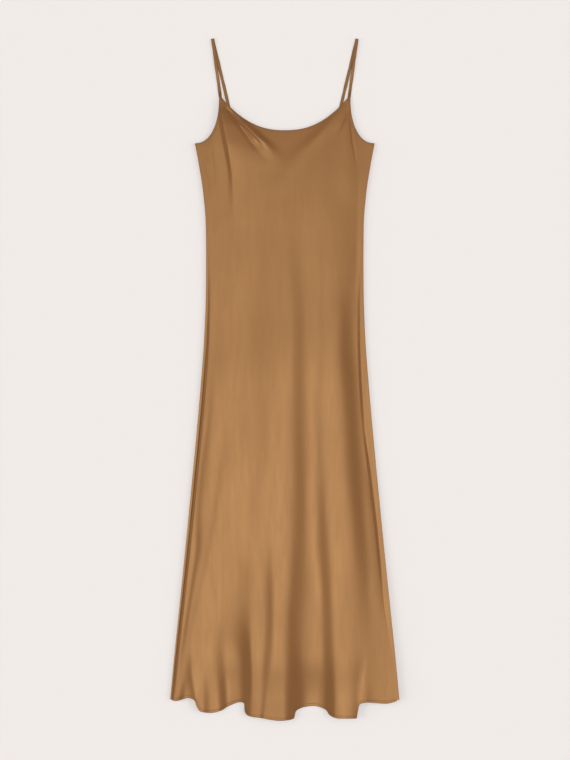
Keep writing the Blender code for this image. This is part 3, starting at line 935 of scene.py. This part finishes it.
# %% One side of the back: its roll and its strip
ROLL_CELLS = 12
STRIP_CELLS = 12
CORNER = 0.8  # the roll's top is flat almost to the side, then turns down over this much
TURN = np.linspace(-math.pi / 2, math.pi / 2, ROLL_CELLS + 1)[1:]
STRIP = (1 - np.cos(np.linspace(0, math.pi, STRIP_CELLS + 1)[1:])) / 2
SIDE_CELLS = len(TURN) + len(STRIP)


def roll(side, down):
    """Outer radius of the roll, which is half the height of its seam."""
    return np.full_like(down, ROLL) if side < 0 else column(STATIONS, "right_level", "down", down) / 2


def side_points(side, seam, down):
    """(across, lift) from the flat part outwards, round the roll and back over it to the seam."""
    turn_down, strip_down = np.split(down, [len(TURN)], axis=1)
    radius = roll(side, turn_down)
    around = half_width(turn_down) - np.where(TURN < 0, radius, CORNER) * (1 - np.cos(TURN))
    seam_across = side * seam(strip_down) + SEAM_SLACK
    back_over = mix(half_width(strip_down) - CORNER, seam_across, STRIP)
    # beside the seam the strip dips as the front does, but over half the width
    dip = seam_dip(side, 2 * (back_over - seam_across), strip_down)
    across = side * np.concatenate([around, back_over], axis=1)
    lift = np.concatenate([radius * (1 + np.sin(TURN)), 2 * roll(side, strip_down) - dip], axis=1)
    return across, lift


# %% Points of the back
BACK_DIP = 241.5
BACK_NECK_POWER = 2
BACK_SEAT_INNER = Point(109.0, 167.6)
BACK_SEAT_OUTER = Point(115.4, 169.1)
BACK_CELLS = TopCells(neck=24, seat=4, armhole=16)
BACK_ROWS = 180
BACK_CROWDING = 0.6
BACK_SPACING_FADES = 0.3  # as on the front, from the top edge down


def back_points():
    side_across = half_width(UNDERARM) - ROLL
    half = top_edge(BACK_CELLS, BACK_SEAT_INNER, BACK_SEAT_OUTER, BACK_DIP, BACK_NECK_POWER, side_across)
    flat_across = both_halves(-half[0], half[0])
    flat_down = both_halves(half[1], half[1])
    side_top = np.full(SIDE_CELLS, UNDERARM)
    top_down = np.concatenate([side_top, flat_down, side_top])
    hem_across = np.linspace(BACK_HEM[0].across, BACK_HEM[-1].across, len(flat_across))
    hem_across = np.pad(hem_across, SIDE_CELLS, mode="edge")
    hem_down = column(BACK_HEM, "down", "across", hem_across)
    shares = row_shares(BACK_ROWS, BACK_CROWDING)[:, None]
    down = mix(top_down, hem_down, shares)
    across = np.zeros_like(down)
    lift = np.zeros_like(down)
    flat = slice(SIDE_CELLS, SIDE_CELLS + len(flat_across))
    even = np.linspace(-1, 1, len(flat_across))
    spread = even + (flat_across / flat_across[-1] - even) * ease(1 - shares / BACK_SPACING_FADES)
    side_roll = np.where(spread < 0, ROLL, roll(1, down[:, flat]))
    across[:, flat] = spread * (half_width(down[:, flat]) - side_roll)
    left_side = slice(SIDE_CELLS - 1, None, -1)
    right_side = slice(-SIDE_CELLS, None)
    for side, seam, order in ((-1, left_seam, left_side), (1, right_seam, right_side)):
        across[:, order], lift[:, order] = side_points(side, seam, down[:, order])
    return across, down, lift, flat


# %% Build the back
*back_grid, back_flat = back_points()
back = cloth("dress_back", *back_grid, 1, body_satin)
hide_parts("back_panel")
print(f"back: {len(back.data.polygons)} faces, and its highest seam lies {back_grid[2].max():.1f} mm up")

# %% [markdown]
# ## Turned edges
#
# A raw satin edge frays, so the neckline, the armholes and the hem are turned in twice and stitched. That
# leaves a narrow band, three layers thick, with a rounded fold at the very edge. A bevel on a curve could
# make the band, but a curve doesn't know which way the cloth lies. So a small section is drawn once, and each
# of its corners is carried along the edge at its own distance into the cloth, on top of the cloth's height.

# %% Following an edge
def inward_of(across, down, way):
    """Unit vectors into the cloth from an edge, which is followed from left to right; way is 1 at the top
    edge, where the cloth lies below it, and -1 at the hem."""
    step = np.stack([np.gradient(across), np.gradient(down)])
    window = np.ones(5) / 5
    step = np.stack([np.convolve(np.pad(row, 2, mode="edge"), window, mode="valid") for row in step])
    step /= np.hypot(*step)
    return -way * step[1], way * step[0]


def along(across, down, spacing):
    """The same edge as points at an even spacing."""
    run = run_along(across, down)
    at = np.linspace(0, run[-1], int(run[-1] / spacing) + 1)
    return np.interp(at, run, across), np.interp(at, run, down)


# %% A turned edge
EDGE_SPACING = 1.5
NIP = 0.12  # how much the section's corners are rounded off
FOLD_OUT = 0.4  # how far the fold stands out past the edge of the cloth


def edge_section(width, inner, outer):
    """(reach into the cloth, height off its outer face) of each point round the section."""
    nip = math.copysign(NIP, outer - inner)
    middle = mix(outer, inner, 0.5)
    face = [(reach, outer) for reach in np.linspace(width - 0.6, 0.5, 6)]
    fold = [(-0.1, outer - nip), (-FOLD_OUT, middle), (-0.1, inner + nip)]
    underside = [(reach, inner) for reach in np.linspace(0.5, width, 4)]
    return [(width, outer - nip)] + face + fold + underside + [(width, middle)]


def turned_edge(name, edge, way, width, height, inner, outer):
    """A narrow hem along an edge, from inner to outer on the cloth, whose outer face lies at that height."""
    across, down = along(*edge, EDGE_SPACING)
    in_across, in_down = inward_of(across, down, way)
    section = edge_section(width, inner, outer)
    lines = []
    for reach, lift in section:
        a = across + in_across * reach
        d = down + in_down * reach
        lines.append(in_frame(a, d, height(a, d) + lift))
    points = np.stack(lines, axis=1).reshape(-1, 3)
    faces = grid_faces(len(across), len(section), closed=True)
    first_end = list(range(len(section)))
    last_end = list(range(len(points) - 1, len(points) - len(section) - 1, -1))
    return add_piece(name, points, faces + [first_end, last_end], edge_satin)


# %% [markdown]
# ## Stitches
#
# The turned edges are held by a line of lockstitches, which show on the face as short separate threads. A row
# of copies with the Array modifier along a curve would bend them with it. Here each stitch is six small rings
# of points, full in the middle and thin at both ends, where it dips into the cloth.

# %% A line of stitches
STITCH = 2.2
STITCH_GAP = 0.8
THREAD = 0.36  # thickness of the thread
RING_PLACES = np.array([-0.5, -0.42, -0.25, 0.25, 0.42, 0.5])  # along a stitch, as shares of its length
RING_GIRTHS = np.array([0.2, 0.75, 1, 1, 0.75, 0.2])  # as shares of the thread's thickness
RING_SIDES = 6


def stitch_faces(count):
    """Faces of that many stitches: the tube of each one and the caps at its ends."""
    size = len(RING_PLACES) * RING_SIDES
    tube = np.array(grid_faces(len(RING_PLACES), RING_SIDES, closed=True))
    caps = np.array([range(RING_SIDES), range(size - 1, size - RING_SIDES - 1, -1)])
    faces = []
    for start in range(0, count * size, size):
        faces += (tube + start).tolist() + (caps + start).tolist()
    return faces


def stitches(name, edge, way, reach, height):
    """Lockstitches in a line beside an edge, at that reach into the cloth."""
    across, down = along(*edge, STITCH + STITCH_GAP)
    in_across, in_down = inward_of(across, down, way)
    across = across + in_across * reach
    down = down + in_down * reach
    a = across[:, None] + (in_down * way)[:, None] * RING_PLACES * STITCH
    d = down[:, None] + (-in_across * way)[:, None] * RING_PLACES * STITCH
    # each stitch arches, and its ends go below the face of the cloth
    z = height(a, d) + THREAD * (0.35 - 1.6 * RING_PLACES**2)
    turn = np.arange(RING_SIDES) * math.tau / RING_SIDES
    radius = RING_GIRTHS[:, None] * THREAD / 2
    wide = radius * np.cos(turn)
    ring_across = a[..., None] + in_across[:, None, None] * wide
    ring_down = d[..., None] + in_down[:, None, None] * wide
    points = in_frame(ring_across, ring_down, z[..., None] + radius * np.sin(turn))
    return add_piece(name, points.reshape(-1, 3), stitch_faces(len(across)), thread)


# %% Turn in and stitch the front's edges
TOP_EDGE_WIDTH = 4.5
HEM_WIDTH = 5.5
STITCH_INSET = 0.8  # from the inner side of the turned edge to the stitches
FACE_LIFT = 0.16  # how far a turned edge stands up from the face of the cloth
TOP_EDGE_DEPTH = -0.8
HEM_DEPTH = -0.85


def turned_and_stitched(place, side, edge, way, width, depth):
    return [
        turned_edge(f"{place}_edge{side}", edge, way, width, front_height, depth, FACE_LIFT),
        stitches(f"{place}_stitches{side}", edge, way, width - STITCH_INSET, front_height),
    ]


def part_of(edge, first, last):
    return edge[0][first:last], edge[1][first:last]


top = front_grid[0][0], front_grid[1][0]
hem = front_grid[0][-1], front_grid[1][-1]
neck_start = int(np.argmin(np.abs(top[0] + SEAT_INNER.across)))
arm_end = int(np.argmin(np.abs(top[0] + SEAT_OUTER.across)))
last_cell = len(top[0])
neck = part_of(top, neck_start, last_cell - neck_start)
left_arm = part_of(top, 0, arm_end + 1)
right_arm = part_of(top, last_cell - arm_end - 1, last_cell)
front_edges = [
    *turned_and_stitched("neck", "", neck, 1, TOP_EDGE_WIDTH, TOP_EDGE_DEPTH),
    *turned_and_stitched("armhole", "_left", left_arm, 1, TOP_EDGE_WIDTH, TOP_EDGE_DEPTH),
    *turned_and_stitched("armhole", "_right", right_arm, 1, TOP_EDGE_WIDTH, TOP_EDGE_DEPTH),
    *turned_and_stitched("front_hem", "", hem, -1, HEM_WIDTH, HEM_DEPTH),
]
print("turned edges and stitch lines on the front:", len(front_edges))

# %% Turn in the back's edges
BACK_EDGE_HEIGHT = 0.85  # the back lies face down, so its turned edges thicken it upwards


def back_height(across, down):
    """The back's face lies on the surface everywhere."""
    return np.zeros(np.broadcast(across, down).shape)


back_top = back_grid[0][0, back_flat], back_grid[1][0, back_flat]
back_hem = back_grid[0][-1, back_flat], back_grid[1][-1, back_flat]
back_edges = [
    turned_edge("back_top_edge", back_top, 1, TOP_EDGE_WIDTH, back_height, BACK_EDGE_HEIGHT, 0.0),
    turned_edge("back_hem_edge", back_hem, -1, HEM_WIDTH, back_height, BACK_EDGE_HEIGHT, 0.0),
]
print("turned edges on the back:", len(back_edges))

# %% [markdown]
# ## Straps
#
# Each strap is a rouleau: a narrow bias strip that is sewn into a tube and turned right side out through
# itself. It runs from under the front's seat up to its top, folds over flat, and comes down to the back's
# seat. A curve with a round bevel would be too even, and would pinch where it folds over. So the tube is
# swept in code: a flattened ring of points at every step, set square to the strap's line.

# %% The strap's line
STRAP_WIDTH = 6.5
STRAP_HEIGHT = 1.4
STRAP_BEND = 0.9  # radius of the fold at its top
BEND_DOWN = 2.2  # where the two legs end and the fold starts
BEND_DROP = 0.3  # how much lower the front leg lies than the top of the fold
STRAP_TOP = 151.9  # how far out it is at the very top of the pattern
FRONT_LEG_LEAN, BACK_LEG_LEAN = -0.1345, -0.2385  # how far it goes across for each millimetre down
FRONT_LEG_END, BACK_LEG_END = 140.5, 167.8
FRONT_LEG_STEPS, BEND_STEPS, BACK_LEG_STEPS = 110, 12, 130
CROSSING = 0.2  # how high the front leg lies off the surface between its top and the seat
CLEARANCE = 0.1  # between the end of the front leg and the cloth that covers it


def tucked_height(side):
    """Height of the front leg's middle where the seat covers it, just under the lowest cloth there."""
    leg_end = STRAP_TOP + FRONT_LEG_LEAN * FRONT_LEG_END + np.linspace(-0.5, 0.5, 9) * STRAP_WIDTH
    covered = np.linspace(SEAT_OUTER.down - 4, FRONT_LEG_END, 9)[:, None]
    return front_height(side * leg_end, covered).min() - SATIN - CLEARANCE - STRAP_HEIGHT / 2


def strap_line(side):
    """(down, lift, lean) of the strap's middle, from the front's seat over the top to the back's seat."""
    front_down = np.linspace(FRONT_LEG_END, BEND_DOWN, FRONT_LEG_STEPS)
    back_down = np.linspace(BEND_DOWN, BACK_LEG_END, BACK_LEG_STEPS)
    turn = np.linspace(math.pi / 2, -math.pi / 2, BEND_STEPS + 2)[1:-1]
    low = STRAP_HEIGHT / 2
    high = low + 2 * STRAP_BEND - BEND_DROP
    tucked = tucked_height(side)
    lifts = [high, high, low + CROSSING, low + CROSSING, tucked, tucked]
    front_lift = smooth_curve([0, 60, 95, 112, 127, 140], lifts, front_down)
    down = np.concatenate([front_down, BEND_DOWN - STRAP_BEND * np.cos(turn), back_down])
    lift = np.concatenate([front_lift, low + STRAP_BEND * (1 + np.sin(turn)), np.full(BACK_LEG_STEPS, low)])
    lean = np.concatenate([
        np.full(FRONT_LEG_STEPS, FRONT_LEG_LEAN),
        np.linspace(FRONT_LEG_LEAN, BACK_LEG_LEAN, BEND_STEPS),
        np.full(BACK_LEG_STEPS, BACK_LEG_LEAN),
    ])
    return down, lift, lean[:, None]


for side in (-1, 1):
    print(f"side {side}: the strap's end lies {tucked_height(side):.2f} mm up under the seat")

# %% The strap's tube
STRAP_SIDES = 20
STRAP_WALL = 0.35
STRAP_STEP = 1.2  # about how far apart the rings are
EDGE_ROUNDNESS = 0.8  # 1 would give an ellipse, and less makes the tube's two sides blunter
RIDGE_SHARE = 0.12  # share by which the tube's thickness comes and goes along it
RIDGE_ROOM = 0.12  # millimetres left free for that on each side


def tube_section(side, count):
    """(reach across, rise) of every ring. A turned strip is never quite even, so both wander along it."""
    run = np.arange(count)[:, None] * STRAP_STEP
    around = np.arange(STRAP_SIDES) * math.tau / STRAP_SIDES
    wander = 1 + 0.05 * np.sin(run / 9 + side) + 0.03 * np.sin(run / 3.7)
    blunt = np.sign(np.cos(around)) * np.abs(np.cos(around)) ** EDGE_ROUNDNESS
    reach = STRAP_WIDTH / 2 * wander * blunt
    ridge = 1 + RIDGE_SHARE * np.sin(run / 4.5 + 2 * reach)
    rise = (STRAP_HEIGHT / 2 - RIDGE_ROOM) * np.sin(around) * ridge
    return reach, rise


def strap(name, side):
    """A rouleau, swept along its line, with each ring set square to the line."""
    down, lift, lean = strap_line(side)
    reach, rise = tube_section(side, len(down))
    slant = np.sqrt(1 + lean**2)
    forward = np.stack([np.gradient(down), np.gradient(lift)])
    forward = (forward / np.hypot(*forward))[..., None]
    across = STRAP_TOP + lean * down[:, None] + reach / slant
    at_down = down[:, None] - reach * lean / slant + rise * forward[1]
    at_lift = lift[:, None] - rise * forward[0]
    points = in_frame(side * across, at_down, at_lift).reshape(-1, 3)
    # the left strap is the right one mirrored, so its faces are wound the other way round
    faces = [face[::side] for face in grid_faces(len(down), STRAP_SIDES, closed=True)]
    piece = add_piece(name, points, faces, strap_satin)
    thicken(piece, STRAP_WALL, -1)
    return piece


# %% Build the straps
straps = {"left": strap("rouleau_left", -1), "right": strap("rouleau_right", 1)}
for side, piece in straps.items():
    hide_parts(f"strap_{side}")
    print(f"{piece.name}: {len(piece.data.vertices)} points")

# %% [markdown]
# ## What rides on what
#
# The dress has no part that moves, so every piece rides on the one body.

# %% Bodies
for piece in (front, back, *front_edges, *back_edges):
    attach(piece, "root")
for piece in straps.values():
    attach(piece, "root")
print("pieces:", 2 + len(front_edges) + len(back_edges) + len(straps))

# %% [markdown]
# ## Camera
#
# Clothes that are laid flat are shown from straight above, and from far away, so that the hem and the straps
# are seen as squarely as the waist. An orthographic camera would be squarer still, but a long lens is what a
# studio has. Its distance follows from how much of the surface the height of the image shows.

# %% Camera
LENS = 85
SENSOR = 36
IMAGE_ROWS = 760
ROW_SIZE = 2.102  # millimetres of the surface in each row of the image
VIEW_HEIGHT = IMAGE_ROWS * ROW_SIZE * MM
camera = bpy.data.objects.new("camera", bpy.data.cameras.new("camera"))
camera.data.lens = LENS
camera.data.sensor_width = SENSOR
camera.data.sensor_fit = "VERTICAL"
camera.data.sensor_height = SENSOR
camera.location = (0.0005, -0.002, VIEW_HEIGHT / SENSOR * LENS)
bpy.context.scene.collection.objects.link(camera)
bpy.context.scene.camera = camera
print(f"the camera hangs {camera.location.z:.2f} m above the surface")

# %% [markdown]
# ## Floor
#
# The dress lies on a wide sheet of matt paper, the kind that is rolled out in a studio. Paper has no lustre
# to speak of, so its specular is off and only its shade counts. A small floor would do from above, but a
# low camera would look past its edge.

# %% Floor
FLOOR = 80  # metres from the middle to each edge
FLOOR_GAP = 0.0002  # metres below the cloth, so that the two surfaces never share a place
floor_mesh = bpy.data.meshes.new("floor")
corners = [(-FLOOR, -FLOOR, 0), (FLOOR, -FLOOR, 0), (FLOOR, FLOOR, 0), (-FLOOR, FLOOR, 0)]
floor_mesh.from_pydata(corners, [], [(0, 1, 2, 3)])
floor = bpy.data.objects.new("floor", floor_mesh)
floor.location.z = -FLOOR_GAP
bpy.context.scene.collection.objects.link(floor)
# paper: pale, matt and the same from every side
paper = bpy.data.materials.new("background_paper")
paper.use_nodes = True
paper_inputs = paper.node_tree.nodes["Principled BSDF"].inputs
paper_inputs["Base Color"].default_value = linear("#DAD5D2")
paper_inputs["Roughness"].default_value = 0.9
paper_inputs["Specular IOR Level"].default_value = 0.0
floor_mesh.materials.append(paper)
floor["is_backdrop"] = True
print(f"the floor is {2 * FLOOR} m wide, in {paper.name}")

# %% [markdown]
# ## Light
#
# Folds this low show only as shading, so the light does half of the drawing. One softbox hangs nearly
# overhead, and gives flat cloth its lustre. Two low strip lights from the sides keep the flanks of the flutes
# from going dark, and four weak umbrellas at the corners light the folds when the dress is seen at a slant.
# Area lamps would also do, but a sun lamp lights the whole length of the dress evenly.

# %% Lamps
Lamp = namedtuple("Lamp", "name towards strength width")
SIDE_RISE, CORNER_RISE = 0.4, 1.1
LAMPS = [
    Lamp("softbox_overhead", (-0.02, -0.088, 1), 2.0, 10),
    Lamp("strip_light_left", (-1, 0, SIDE_RISE), 1.25, 40),
    Lamp("strip_light_right", (1, 0, SIDE_RISE), 1.25, 40),
    Lamp("umbrella_front_left", (-1, -1, CORNER_RISE), 0.35, 60),
    Lamp("umbrella_front_right", (1, -1, CORNER_RISE), 0.35, 60),
    Lamp("umbrella_back_left", (-1, 1, CORNER_RISE), 0.35, 60),
    Lamp("umbrella_back_right", (1, 1, CORNER_RISE), 0.35, 60),
]
for lamp in LAMPS:
    light = bpy.data.objects.new(lamp.name, bpy.data.lights.new(lamp.name, "SUN"))
    light.data.energy = lamp.strength
    light.data.angle = math.radians(lamp.width)
    light.rotation_euler = Vector(lamp.towards).to_track_quat("Z", "Y").to_euler()
    bpy.context.scene.collection.objects.link(light)
print("lamps:", ", ".join(f"{lamp.name} {lamp.strength}" for lamp in LAMPS))

# %% The room
ROOM_LIGHT = 0.05  # what little light the walls throw back
world = bpy.data.worlds.new("studio")
bpy.context.scene.world = world
world.use_nodes = True
room = world.node_tree.nodes["Background"].inputs
room["Color"].default_value = (1, 1, 1, 1)
room["Strength"].default_value = ROOM_LIGHT
bpy.context.scene.view_settings.view_transform = "Standard"
print("room light:", ROOM_LIGHT)

# %% [markdown]
# ## The size of the finished dress
#
# Every surface above stands on the same sizes as the solids, so the finished dress has to fill the same box.
# The shift of each side of the dress's box from the solids' box is printed, in millimetres, before the scene
# is closed.

dressed_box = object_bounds()
shifts = [[round((b - a) / MM, 2) for a, b in zip(*ends)] for ends in zip(cad_box, dressed_box)]
print("from the solids' box to the dress's own, in mm:", shifts)
